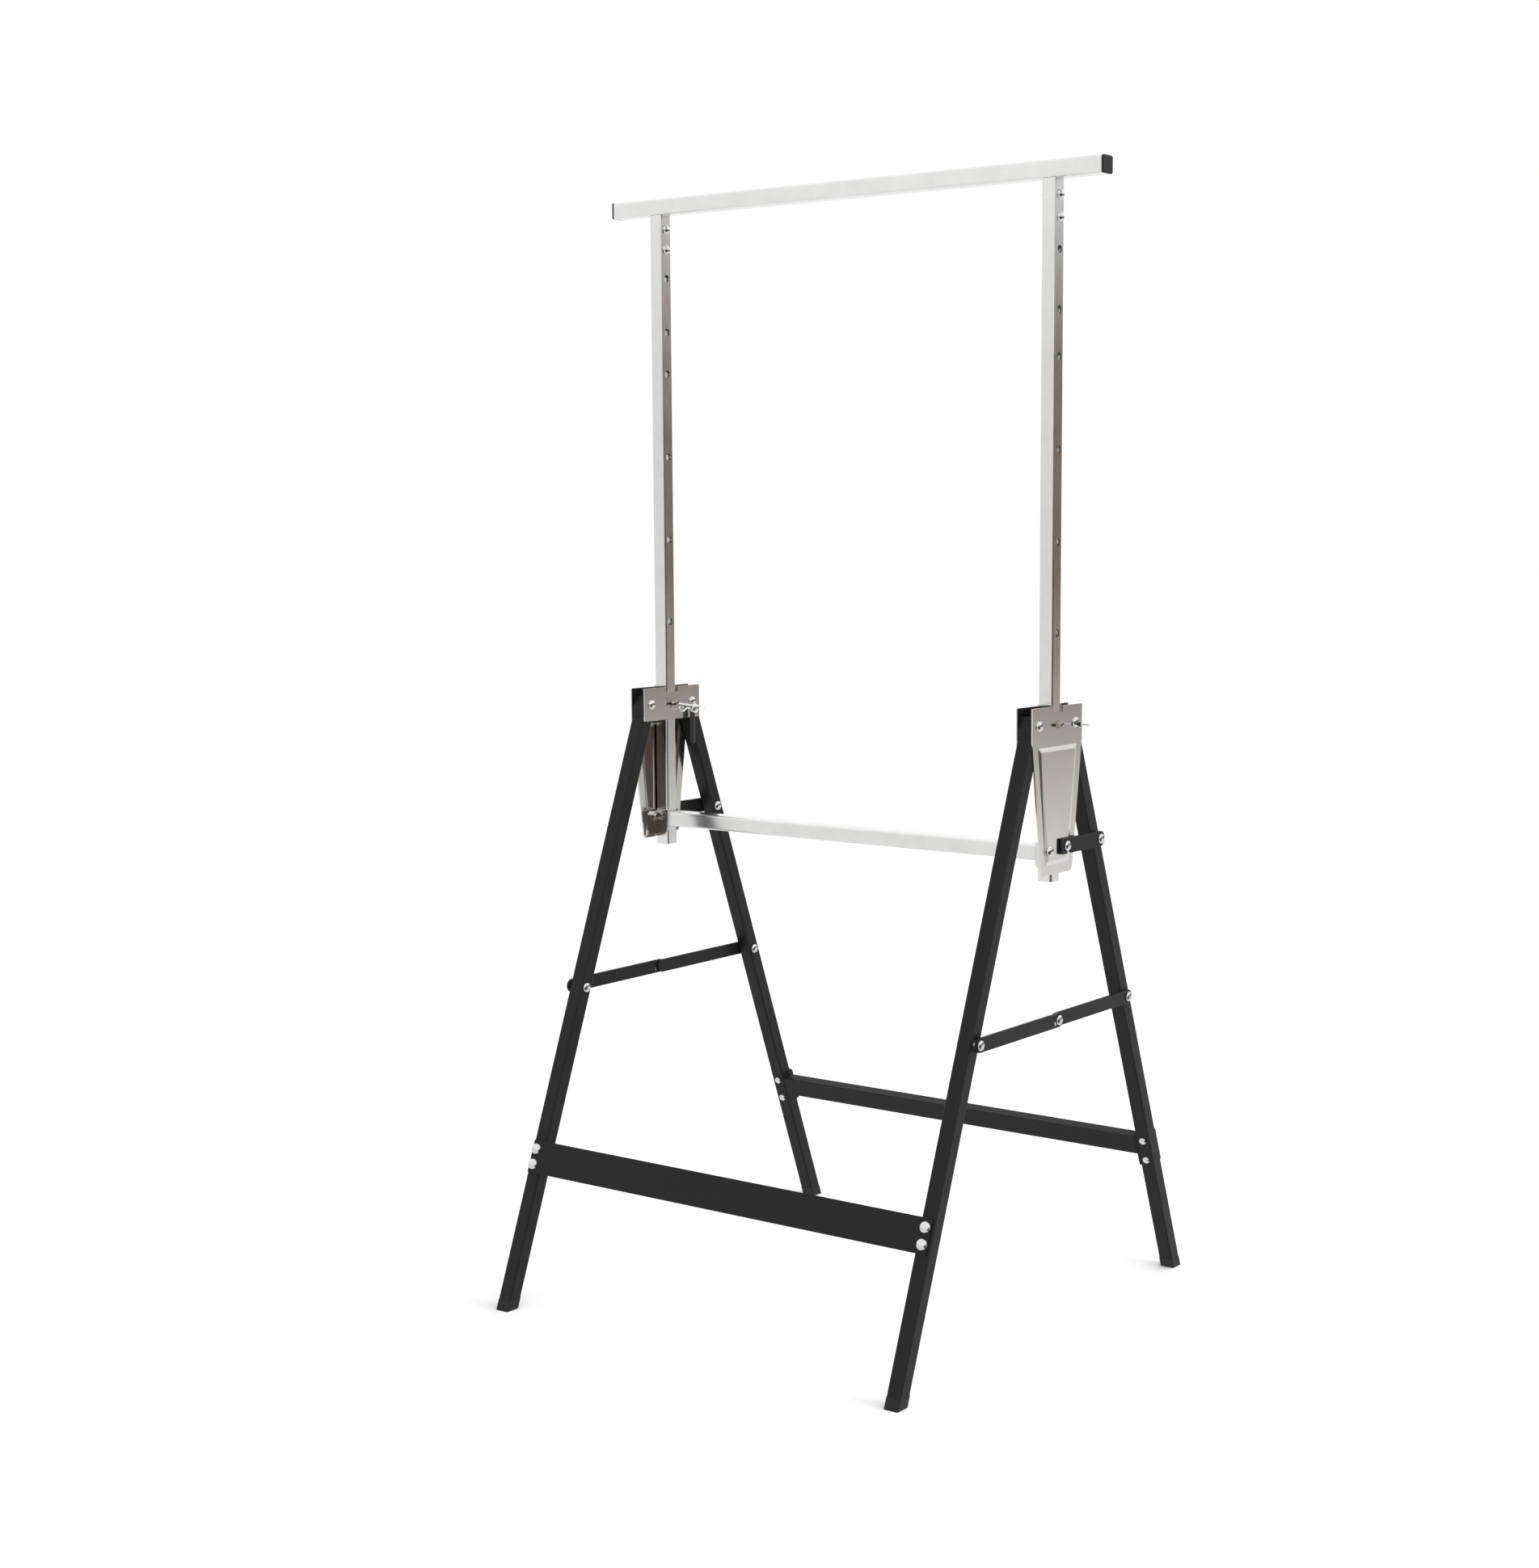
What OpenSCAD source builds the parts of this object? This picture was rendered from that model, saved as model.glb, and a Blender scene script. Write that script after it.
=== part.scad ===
// Folding telescopic sawhorse: a round-holed mast pair with a top bar slides in a head that
// carries two folding leg frames. X runs along the top bar, Y front to back, Z up. The origin
// is on the floor, under the middle of the top bar. Millimetres.
// Every sub-part is drawn for the right-hand end, at positive X, and mirrored for the left.

/* [Overall] */
// Height of the top bar's top face with the masts fully raised
height = 1300; // [1296:1:1300]
// Length of the top bar
bar_length = 690; // [660:1:720]
// Distance from the middle to each foot's outer edge, front to back
foot_y = 306.5; // [290:0.5:320]

/* [Masts and top bar] */
// Distance from the middle to each mast's centre line
mast_x = 277; // [270:1:284]
// Outer size of the square tube used for masts and legs
tube_size = 18; // [18:0.5:18]
// Wall thickness of the square tubes
tube_wall = 1.5; // [1.2:0.1:2]
// Outer corner radius of the square tubes
tube_corner = 2.2; // [1.6:0.1:2.6]
// Height of the top bar's section
bar_h = 19; // [18:0.5:20]
// Depth of the top bar's section
bar_d = 20; // [19:0.5:21]
// Spacing of the adjustment holes
hole_pitch = 100; // [98:1:100]
// Hole positions above the lock pin, in pitches
hole_steps = [0, 1, 2, 3, 4, 4.5, 5.14];
// Diameter of the adjustment holes
hole_d = 8.6; // [8.6:0.1:9]
// Height of the masts' lower ends when fully raised
mast_foot_z = 517; // [515:1:520]

/* [Head plates] */
// Height of the lock pin and of the hinge rivets
pin_z = 692; // [690:1:694]
// Distance from the middle to each hinge rivet, front to back
hinge_y = 38.4; // [37:0.1:40]
// Height of the top edge of the head plates
plate_top = 712; // [711:1:714]
// Thickness of the head plates
plate_t = 1.5; // [1.4:0.1:1.6]
// Half of the head plates' width
plate_half_w = 52.5; // [52:0.5:53]
// Height where the outer plate starts to taper
taper_z = 674; // [668:1:678]
// Height of the outer plate's lower edge
outer_bottom = 526; // [524:1:528]
// Half of the outer plate's width at its lower edge
outer_bottom_half_w = 32.5; // [31:0.5:34]
// Height of the inner plate
inner_plate_h = 40; // [38:1:42]
// Height of the raised panel on the outer plate
panel_rise = 1.2; // [0.8:0.1:1.3]

/* [Legs] */
// Height where the legs end and their heads begin
leg_top_z = 677; // [675:1:679]
// Distance from the middle to the outer face of the leg heads
leg_top_y = 52.9; // [52.5:0.1:53]
// Height of the foot plugs
foot_h = 12; // [10:1:16]

/* [Braces and stays] */
// Height of the folding braces
brace_z = 361; // [355:1:367]
// Width of a brace bar
brace_w = 16; // [14:1:17]
// Thickness of the brace and stay bars
link_t = 3; // [3:0.1:3]
// Height of the stays
stay_z = 555.7; // [554:0.1:557]
// Width of a stay
stay_w = 17.5; // [16:0.5:18]
// Distance from the middle to the stays' studs, front to back
stud_y = 15; // [14:0.5:16]

/* [Rails] */
// Height of the middle of the front kick plate
kick_z = 167; // [160:1:175]
// Width of the kick plate along the legs
kick_w = 38.5; // [36:0.5:41]
// Thickness of the kick plate
kick_t = 3.5; // [3:0.1:4]
// Half of the kick plate's length
kick_half_l = 283; // [280:1:286]
// Height of the middle of the back rail
rail_z = 168.3; // [165:0.1:172]
// Width of the back rail along the legs
rail_w = 24.7; // [22:0.1:26]
// Depth of the back rail's channel
rail_d = 13; // [12:0.5:15]
// Wall of the back rail's channel and end brackets
rail_t = 2; // [1.8:0.1:2.2]

/* [Lower crossbar] */
// Height of the lower crossbar's top face
crossbar_top = 558; // [556:1:560]
// Height of the lower crossbar's section
crossbar_h = 18; // [17:0.5:19]

/* [Hidden] */

// Every circle with this many sides carries over as a true circle
$fn = 32;
corner_steps = 4;
steel_grey = "#b9b6b0";
paint_black = "#2b2b2c";
zinc = "#d5d7d9";
plastic_black = "#1c1c1d";
strap_grey = "#77777a";

// Play between parts that slide or turn on each other
slide_gap = 0.2;
half_tube = tube_size / 2;
rivet_d = 6;
rivet_bore = 6.6;
rivet_head_d = 11.5;
rivet_head_h = 3;
pin_d = 8;

// Planes across X at the right-hand end, from the inside out
inner_face_in = mast_x - half_tube - slide_gap - plate_t;
inner_face_out = mast_x - half_tube - slide_gap;
outer_face_in = mast_x + half_tube + slide_gap;
outer_face_out = outer_face_in + plate_t;
panel_face = outer_face_out + panel_rise;
leg_face = mast_x + half_tube;
link_gap = 0.3;
back_brace_x = leg_face + link_gap;
front_brace_x = back_brace_x + link_t + link_gap;
stay_x = panel_face + 0.4;

// The leg runs straight from its head down to the floor and splays outwards
lean = atan((foot_y - leg_top_y) / leg_top_z);
function leg_axis_y(z) = leg_top_y + (leg_top_z - z) * tan(lean) - half_tube / cos(lean);
brace_y = leg_axis_y(brace_z);
stay_rivet_y = leg_axis_y(stay_z);
leg_run = leg_top_z / cos(lean) + 60;

// ---------- shapes shared by several parts ----------

// A rectangle with rounded corners, each an arc of a few straight steps, as a rolled tube has
module rounded_box_2d(x, y, r) {
    polygon([for (quarter = [0:3], step = [0:corner_steps])
        let (turn = 90 * (quarter + step / corner_steps),
            sx = (quarter == 0 || quarter == 3) ? 1 : -1,
            sy = quarter < 2 ? 1 : -1)
        [sx * (x / 2 - r) + r * cos(turn), sy * (y / 2 - r) + r * sin(turn)]]);
}

module square_tube(x, y, wall, length) {
    linear_extrude(length)
        difference() {
            rounded_box_2d(x, y, tube_corner);
            rounded_box_2d(x - 2 * wall, y - 2 * wall, tube_corner - wall + 0.3);
        }
}

// A low dome standing on z = 0
module dome(d, h) {
    ball_r = (d * d / 4 + h * h) / (2 * h);
    intersection() {
        translate([0, 0, h - ball_r])
            sphere(ball_r, $fn = 48);
        cylinder(d = d + 1, h = h);
    }
}

// Turns a shape that stands along Z so that it points along +X
module along_x() {
    rotate([0, 90, 0])
        children();
}

// A rivet across X from x0 to x1, with a dome at one or both ends
module rivet_x(x0, x1, y, z, d = rivet_d, head = rivet_head_d, inner_dome = true) {
    translate([x0, y, z])
        along_x() {
            cylinder(d = d, h = x1 - x0);
            translate([0, 0, x1 - x0])
                dome(head, rivet_head_h);
            if (inner_dome)
                mirror([0, 0, 1])
                    dome(head, rivet_head_h);
        }
}

module hex_nut(flats, thick, bore) {
    difference() {
        cylinder(d = flats / cos(30), h = thick, $fn = 6);
        translate([0, 0, -1])
            cylinder(d = bore, h = thick + 2);
    }
}

// A flat bar in the YZ plane with round ends, from y0 to y1, lying on x
module link_bar(x, y0, y1, z, w) {
    translate([x, 0, z])
        along_x()
            linear_extrude(link_t) {
                // In this turned frame the section's X is -Z and its Y is Y
                translate([-w / 2, y0])
                    square([w, y1 - y0]);
                for (y = [y0, y1])
                    translate([0, y])
                        circle(d = w);
            }
}

module left() {
    mirror([1, 0, 0])
        children();
}

module both_ends() {
    children();
    left()
        children();
}

module front() {
    mirror([0, 1, 0])
        children();
}

// Puts a shape in the frame of the back leg's splayed run: Z along the leg, origin on its axis at z
module on_leg(z) {
    translate([mast_x, leg_axis_y(z), z])
        rotate([lean, 0, 0])
            children();
}

// ---------- head ----------

module outer_outline() {
    r = 5;
    difference() {
        polygon([[-plate_half_w, plate_top], [-plate_half_w, taper_z],
            [-outer_bottom_half_w, outer_bottom], [outer_bottom_half_w, outer_bottom],
            [plate_half_w, taper_z], [plate_half_w, plate_top]]);
        for (s = [-1, 1])
            translate([s * outer_bottom_half_w, outer_bottom])
                rotate(s > 0 ? 0 : 90)
                    difference() {
                        translate([-r, -0.5])
                            square([r + 1.5, r + 0.5]);
                        translate([-r - 0.4, r])
                            circle(r);
                    }
    }
}

notch_half_w = 11;
notch_depth = 6.5;

module notch_2d() {
    translate([-notch_half_w, plate_top - notch_depth])
        square([2 * notch_half_w, notch_depth + 1]);
}

panel_top_z = 668;
panel_bottom_z = 537;
panel_top_half_w = 41;
panel_bottom_half_w = 24.5;
panel_bevel = 5;

// The raised panel: a foot outline and a smaller one, one rise above it
module panel_block(x, grow) {
    hull() {
        translate([x, 0, 0])
            rotate([90, 0, 90])
                linear_extrude(0.01)
                    polygon([[-panel_top_half_w + grow, panel_top_z - grow],
                        [panel_top_half_w - grow, panel_top_z - grow],
                        [panel_bottom_half_w - grow, panel_bottom_z + grow],
                        [-panel_bottom_half_w + grow, panel_bottom_z + grow]]);
        translate([x + panel_rise, 0, 0])
            rotate([90, 0, 90])
                linear_extrude(0.01)
                    polygon([[-panel_top_half_w + panel_bevel, panel_top_z - panel_bevel],
                        [panel_top_half_w - panel_bevel, panel_top_z - panel_bevel],
                        [panel_bottom_half_w - panel_bevel, panel_bottom_z + panel_bevel],
                        [-panel_bottom_half_w + panel_bevel, panel_bottom_z + panel_bevel]]);
    }
}

module outer_plate() {
    color(steel_grey)
        difference() {
            union() {
                translate([outer_face_in, 0, 0])
                    rotate([90, 0, 90])
                        linear_extrude(plate_t)
                            difference() {
                                outer_outline();
                                notch_2d();
                            }
                panel_block(outer_face_out - 0.01, 0);
            }
            panel_block(outer_face_in - 0.01, 0.8);
            head_bores(outer_face_in - 1, 8);
            for (y_z = [[bracket_bolt_y, bracket_bolt_z], [stud_y, stay_z]])
                translate([outer_face_in - 1, y_z[0], y_z[1]])
                    along_x()
                        cylinder(d = rivet_d, h = 8);
        }
}

// Holes that both head plates share: the pin's and the two hinge rivets'
module head_bores(x, h) {
    translate([x, 0, pin_z])
        along_x()
            cylinder(d = hole_d, h = h);
    for (s = [-1, 1])
        translate([x, s * hinge_y, pin_z])
            along_x()
                cylinder(d = rivet_d, h = h);
}

guide_stud_z = 681;
guide_y = 13.6;
guide_t = 1.5;
guide_bottom = 676;
guide_top = 714;

module inner_plate() {
    color(steel_grey)
        difference() {
            translate([inner_face_in, 0, 0])
                rotate([90, 0, 90])
                    linear_extrude(plate_t)
                        difference() {
                            translate([-plate_half_w + 0.5, plate_top - inner_plate_h])
                                square([2 * plate_half_w - 1, inner_plate_h]);
                            notch_2d();
                        }
            head_bores(inner_face_in - 1, 4);
            for (s = [-1, 1])
                translate([inner_face_in - 1, s * guide_y, guide_stud_z])
                    along_x()
                        cylinder(d = 3, h = 4);
        }
}

// Folded strips in front of and behind the mast, between the two head plates. Each has a web
// beside the mast and a narrow flange, with a small stud, on the inner plate
module mast_guides() {
    web_y = half_tube + 0.35;
    flange_end = 18.5;
    flange_top = 702;
    color(steel_grey)
        for (s = [0, 1])
            mirror([0, s, 0]) {
                translate([inner_face_out + 0.05, web_y, guide_bottom])
                    cube([outer_face_in - inner_face_out - 0.1, guide_t, guide_top - guide_bottom]);
                translate([inner_face_out + 0.05, web_y, guide_bottom])
                    cube([guide_t, flange_end - web_y, flange_top - guide_bottom]);
                translate([inner_face_in + 0.2, guide_y, guide_stud_z])
                    along_x()
                        cylinder(d = 2.9, h = 2);
            }
}

bracket_bolt_y = -17;
bracket_bolt_z = 552.3;
bracket_top = 560;
bracket_bottom = 529;
bracket_t = 1.5;
bracket_web_y = half_tube + slide_gap;

// A strip folded round the mast: a web in front, a web behind, and a flange on the outer plate
module guide_bracket() {
    web_in = inner_face_in - 0.3;
    color(steel_grey)
        difference() {
            union() {
                for (s = [-1, 1]) {
                    translate([web_in, s > 0 ? bracket_web_y : -bracket_web_y - bracket_t, bracket_bottom])
                        cube([outer_face_in - web_in, bracket_t, bracket_top - bracket_bottom]);
                    translate([outer_face_in - bracket_t, s > 0 ? bracket_web_y : -31, bracket_bottom])
                        cube([bracket_t, 31 - bracket_web_y, bracket_top - bracket_bottom]);
                }
            }
            // The webs' lower inboard corners are cut off
            translate([web_in, 0, bracket_bottom])
                rotate([0, 45, 0])
                    cube([9, 60, 9], center = true);
            for (y_z = [[bracket_bolt_y, bracket_bolt_z], [stud_y, stay_z]])
                translate([outer_face_in - 4, y_z[0], y_z[1]])
                    along_x()
                        cylinder(d = rivet_d, h = 8);
        }
}

bracket_bolt_end = 6;
bracket_head_d = 12.5;
bracket_head_h = 3.6;

module bracket_bolt() {
    translate([outer_face_in - bracket_t - bracket_bolt_end, bracket_bolt_y, bracket_bolt_z])
        along_x()
            cylinder(d = rivet_d - 0.05, h = panel_face - outer_face_in + bracket_t + bracket_bolt_end);
    translate([panel_face, bracket_bolt_y, bracket_bolt_z])
        along_x()
            dome(bracket_head_d, bracket_head_h);
}

module bracket_nut() {
    translate([outer_face_in - bracket_t, bracket_bolt_y, bracket_bolt_z])
        rotate([0, -90, 0])
            hex_nut(10, 4.5, rivet_d + 0.1);
}

// A stud riveted through the flange and the outer plate, on which the stay hooks
module stay_stud() {
    inner_head_d = 8.4;
    shank_end = stay_x + link_t + link_gap;
    color(zinc)
        translate([0, stud_y, stay_z]) {
            translate([outer_face_in - bracket_t, 0, 0])
                along_x()
                    cylinder(d = rivet_d - 0.05, h = shank_end - outer_face_in + bracket_t);
            translate([outer_face_in - bracket_t - 2, 0, 0])
                along_x()
                    cylinder(d = inner_head_d, h = 2);
            translate([shank_end, 0, 0])
                along_x()
                    dome(rivet_head_d, rivet_head_h);
        }
}

module hinge_rivets() {
    color(zinc)
        for (s = [-1, 1])
            rivet_x(inner_face_in, outer_face_out, s * hinge_y, pin_z, d = rivet_d - 0.05);
}

// The end of the lock pin's tether: a ferrule on the back hinge rivet's outer head, and a tail
module tether_stop() {
    translate([outer_face_out + rivet_head_h, hinge_y + 1.5, pin_z - 2.5])
        along_x() {
            cylinder(d = 4.4, h = 2);
            cylinder(d = 1.8, h = 13);
        }
}

module lower_crossbar() {
    crossbar_half_l = inner_face_in - 0.3;
    color(zinc)
        translate([-crossbar_half_l, 0, crossbar_top - crossbar_h / 2])
            along_x()
                square_tube(crossbar_h, 2 * (bracket_web_y + bracket_t), tube_wall, 2 * crossbar_half_l);
}

// ---------- masts and top bar ----------

bar_bottom = height - bar_h;
mast_bolt_zs = [1240, 1264];

module mast() {
    color(zinc)
        difference() {
            translate([mast_x, 0, mast_foot_z])
                square_tube(tube_size, tube_size, tube_wall, bar_bottom - mast_foot_z);
            for (step = hole_steps)
                translate([mast_x - tube_size, 0, pin_z + step * hole_pitch])
                    along_x()
                        cylinder(d = hole_d, h = 2 * tube_size);
            for (z = mast_bolt_zs)
                translate([mast_x - tube_size, 0, z])
                    along_x()
                        cylinder(d = rivet_bore, h = 2 * tube_size);
        }
}

stub_size = tube_size - 2 * tube_wall - 0.4;
stub_low = 1224;

module mast_stub() {
    difference() {
        translate([mast_x, 0, stub_low])
            linear_extrude(bar_bottom - stub_low)
                difference() {
                    square(stub_size, center = true);
                    square(stub_size - 4, center = true);
                }
        for (z = mast_bolt_zs)
            translate([mast_x - tube_size, 0, z])
                along_x()
                    cylinder(d = rivet_bore, h = 2 * tube_size);
    }
}

// The bolt screws into the stub. Its head is on the +X face of both masts, its end on the other
module mast_bolt(centre_x, z) {
    bolt_end = 3.4;
    translate([centre_x - half_tube - bolt_end, 0, z])
        along_x() {
            cylinder(d = rivet_d, h = tube_size + bolt_end);
            translate([0, 0, tube_size + bolt_end])
                dome(11, 4);
        }
}

cap_t = 2.5;

module top_bar() {
    color(zinc)
        translate([-bar_length / 2 + cap_t, 0, height - bar_h / 2])
            along_x()
                square_tube(bar_h, bar_d, tube_wall, bar_length - 2 * cap_t);
}

module bar_cap() {
    stem_l = 16;
    color(plastic_black) {
        translate([bar_length / 2 - cap_t, 0, height - bar_h / 2])
            along_x()
                linear_extrude(cap_t)
                    rounded_box_2d(bar_h, bar_d, tube_corner);
        translate([bar_length / 2 - cap_t - stem_l, -(bar_d / 2 - tube_wall - 0.2),
            height - bar_h + tube_wall + 0.2])
            cube([stem_l, bar_d - 2 * tube_wall - 0.4, bar_h - 2 * tube_wall - 0.4]);
    }
}

// ---------- legs ----------

// The back right leg; the front legs are its mirror image. Children are cut out of it
// Room around a leg for the shapes that trim and bore it, and the tube's length below the floor
trim_half_w = 30;
trim_depth = 500;
tube_below = 30;

module leg() {
    difference() {
        intersection() {
            on_leg(0)
                translate([0, 0, -tube_below])
                    square_tube(tube_size, tube_size, tube_wall, leg_run);
            translate([mast_x - trim_half_w, 0, foot_h])
                cube([2 * trim_half_w, trim_depth, leg_top_z - foot_h]);
        }
        translate([mast_x - trim_half_w, brace_y, brace_z])
            along_x()
                cylinder(d = rivet_d, h = 2 * trim_half_w);
        children();
    }
}

head_in_y = 2 * hinge_y - leg_top_y;
tongue_low = 11;
tongue_high = 26;
tongue_lean = 22;

// A folded box welded on top of the leg, which turns on the hinge rivet: two cheeks, a web and a
// bottom, and at its outer side a lip whose upper part leans inwards and ends below the open top
module leg_head() {
    depth = leg_top_y - head_in_y;
    tall = plate_top - leg_top_z;
    tongue_run = (tongue_high - tongue_low) * tan(tongue_lean);
    color(paint_black)
        difference() {
            translate([mast_x, head_in_y, leg_top_z])
                rotate([90, 0, 90]) {
                    for (x = [-half_tube, half_tube - tube_wall])
                        translate([0, 0, x])
                            linear_extrude(tube_wall)
                                square([depth, tall]);
                    translate([0, 0, -half_tube])
                        linear_extrude(tube_size)
                            polygon([[0, 0], [depth, 0], [depth, tongue_low],
                                [depth - tongue_run, tongue_high],
                                [depth - tongue_run - tube_wall, tongue_high],
                                [depth - tube_wall, tongue_low], [depth - tube_wall, tube_wall],
                                [tube_wall, tube_wall], [tube_wall, tall], [0, tall]]);
                }
            translate([mast_x - 30, hinge_y, pin_z])
                along_x()
                    cylinder(d = rivet_bore, h = 60);
        }
}

module foot() {
    color(plastic_black) {
        intersection() {
            on_leg(0)
                translate([0, 0, -20])
                    linear_extrude(60)
                        rounded_box_2d(tube_size + 0.6, tube_size + 0.6, tube_corner);
            translate([mast_x - 30, 0, 0])
                cube([60, 500, foot_h]);
        }
        intersection() {
            on_leg(0)
                translate([0, 0, -20])
                    linear_extrude(60)
                        square(tube_size - 2 * tube_wall - 0.4, center = true);
            translate([mast_x - 30, 0, 1])
                cube([60, 500, 60]);
        }
    }
}

// Places children on the leg's outer face, Z pointing out of the leg, at s along the leg from z
module on_outer_face(z, s) {
    on_leg(z)
        translate([0, half_tube, s])
            rotate([-90, 0, 0])
                children();
}

// Places children on the leg's inner face, Z pointing towards the middle
module on_inner_face(z, s) {
    on_leg(z)
        translate([0, -half_tube, s])
            rotate([90, 0, 0])
                children();
}

kick_bolt_s = [-9, 9];
cross_bore_l = 3 * tube_size;

module front_leg() {
    color(paint_black)
        leg()
            for (s = kick_bolt_s)
                on_outer_face(kick_z, s)
                    translate([0, 0, -cross_bore_l / 2])
                        cylinder(d = rivet_d + 0.1, h = cross_bore_l);
}

rail_bolt_s = [8, -19];

module back_leg() {
    color(paint_black)
        leg() {
            translate([mast_x - 30, stay_rivet_y, stay_z])
                along_x()
                    cylinder(d = rivet_d, h = 60);
            for (s = rail_bolt_s)
                on_inner_face(rail_z, s)
                    translate([0, 0, -cross_bore_l / 2])
                        cylinder(d = rivet_d + 0.1, h = cross_bore_l);
        }
}

module kick_plate() {
    color(paint_black)
        difference() {
            on_outer_face(kick_z, 0)
                translate([-mast_x - kick_half_l, -kick_w / 2, 0])
                    cube([2 * kick_half_l, kick_w, kick_t]);
            for (s = kick_bolt_s)
                both_ends()
                    on_outer_face(kick_z, s)
                        translate([0, 0, -5])
                            cylinder(d = rivet_d + 0.1, h = 20);
        }
}

module kick_bolts() {
    for (s = kick_bolt_s)
        on_outer_face(kick_z, s) {
            translate([0, 0, kick_t])
                dome(13, 4);
            translate([0, 0, -tube_size - 6])
                cylinder(d = rivet_d, h = tube_size + kick_t + 6);
        }
}

module kick_nuts() {
    for (s = kick_bolt_s)
        on_inner_face(kick_z, s)
            hex_nut(10, 4.5, rivet_d + 0.1);
}

// A channel that opens to the inside of the trestle, its flanges level with the legs' inner faces
module back_rail() {
    half_l = mast_x - half_tube - rail_t - 0.1;
    color(paint_black)
        on_leg(rail_z)
            translate([-mast_x - half_l, -half_tube, 0]) {
                translate([0, 0, -rail_w / 2])
                    cube([2 * half_l, rail_t, rail_w]);
                for (z = [-rail_w / 2, rail_w / 2 - rail_t])
                    translate([0, 0, z])
                        cube([2 * half_l, rail_d, rail_t]);
            }
}

bracket_low = -28;
bracket_high = 15;

// An angle on the leg's inside and outside faces that carries one end of the back rail
module rail_bracket() {
    difference() {
        on_leg(rail_z) {
            translate([-half_tube - rail_t, -half_tube + 0.4, bracket_low])
                cube([rail_t, tube_size + rail_t - 0.4, bracket_high - bracket_low]);
            translate([-half_tube - rail_t, half_tube, bracket_low])
                cube([tube_size + rail_t - 1, rail_t, bracket_high - bracket_low]);
        }
        for (s = rail_bolt_s)
            on_inner_face(rail_z, s)
                translate([0, 0, -cross_bore_l])
                    cylinder(d = rivet_d + 0.1, h = 2 * cross_bore_l);
    }
}

module rail_end_bolts() {
    for (s = rail_bolt_s)
        on_inner_face(rail_z, s) {
            dome(9, 3.2);
            translate([0, 0, -tube_size - rail_t - 6])
                cylinder(d = rivet_d, h = tube_size + rail_t + 6);
        }
}

module rail_end_nuts() {
    for (s = rail_bolt_s)
        on_outer_face(rail_z, s)
            translate([0, 0, rail_t])
                hex_nut(10, 4.5, rivet_d + 0.1);
}

// ---------- braces and stays ----------

module brace_end_rivet(x_out) {
    rivet_x(mast_x - half_tube, x_out, brace_y, brace_z, d = rivet_d - 0.05);
}

module spacer(x, y, z, h) {
    translate([x, y, z])
        along_x()
            difference() {
                cylinder(d = 11, h = h);
                translate([0, 0, -1])
                    cylinder(d = rivet_d + 0.1, h = h + 2);
            }
}

// A bore across a brace or stay, at the right-hand end
module link_bore(x, y, z, d) {
    translate([x - 1, y, z])
        along_x()
            cylinder(d = d, h = link_t + 2);
}

// Both bars end round the middle rivet, where the front one lies outside the back one. The
// back bar has no bore for the rivet
module front_brace() {
    color(paint_black)
        difference() {
            link_bar(front_brace_x, -brace_y, 0, brace_z, brace_w);
            link_bore(front_brace_x, -brace_y, brace_z, rivet_bore);
            link_bore(front_brace_x, 0, brace_z, rivet_d);
            link_bore(front_brace_x, -stop_y, brace_z - stop_drop, stop_d);
        }
}

module back_brace() {
    color(paint_black)
        difference() {
            link_bar(back_brace_x, 0, brace_y, brace_z, brace_w);
            link_bore(back_brace_x, brace_y, brace_z, rivet_bore);
        }
}

// The middle rivet, and the small stop pin beside it that keeps the two bars in line
stop_y = 8.6;
stop_drop = 3;
stop_d = 4.4;

module brace_centre_rivet() {
    color(zinc) {
        rivet_x(front_brace_x, front_brace_x + link_t, 0, brace_z, d = rivet_d - 0.05, inner_dome = false);
        translate([front_brace_x, -stop_y, brace_z - stop_drop])
            along_x()
                cylinder(d = stop_d - 0.05, h = link_t + 1);
    }
}

stay_over = 12;
stay_corner = 2;

// The stay's slot leaves the stud's seat downwards and towards the leg
slot_angle = 58.5;
slot_w = rivet_bore + 0.4;

// A flat bar with a squared end over the stud and a round one on the leg
// How far the stay's hook slot is cut past the stud
slot_reach = 20;

module stay() {
    corner_x = stay_w / 2 - stay_corner;
    corner_y = stud_y - stay_over + stay_corner;
    color(paint_black)
        difference() {
            translate([stay_x, 0, stay_z])
                along_x()
                    linear_extrude(link_t) {
                        translate([-stay_w / 2, corner_y])
                            square([stay_w, stay_rivet_y - corner_y]);
                        translate([-corner_x, corner_y - stay_corner])
                            square([2 * corner_x, 2 * stay_corner]);
                        for (side = [-corner_x, corner_x])
                            translate([side, corner_y])
                                circle(r = stay_corner);
                        translate([0, stay_rivet_y])
                            circle(d = stay_w);
                    }
            link_bore(stay_x, stay_rivet_y, stay_z, rivet_bore);
            link_bore(stay_x, stud_y, stay_z, rivet_bore + 0.2);
            translate([stay_x - 1, stud_y, stay_z])
                rotate([-slot_angle, 0, 0])
                    translate([0, 0, -slot_w / 2])
                        cube([link_t + 2, slot_reach, slot_w]);
        }
}

module stay_leg_rivet() {
    rivet_x(mast_x - half_tube, stay_x + link_t + link_gap, stay_rivet_y, stay_z, d = rivet_d - 0.05);
}

// ---------- lock pin ----------

pin_in = 258;
pin_out = outer_face_out + 7;
clip_x = pin_in + 2.6;
clip_wire = 2.4;
clip_tilt = -9;
clip_gap = pin_d / 2 + clip_wire / 2 + 0.1;
clip_bow_y = 36;
clip_tail = 16;

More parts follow.
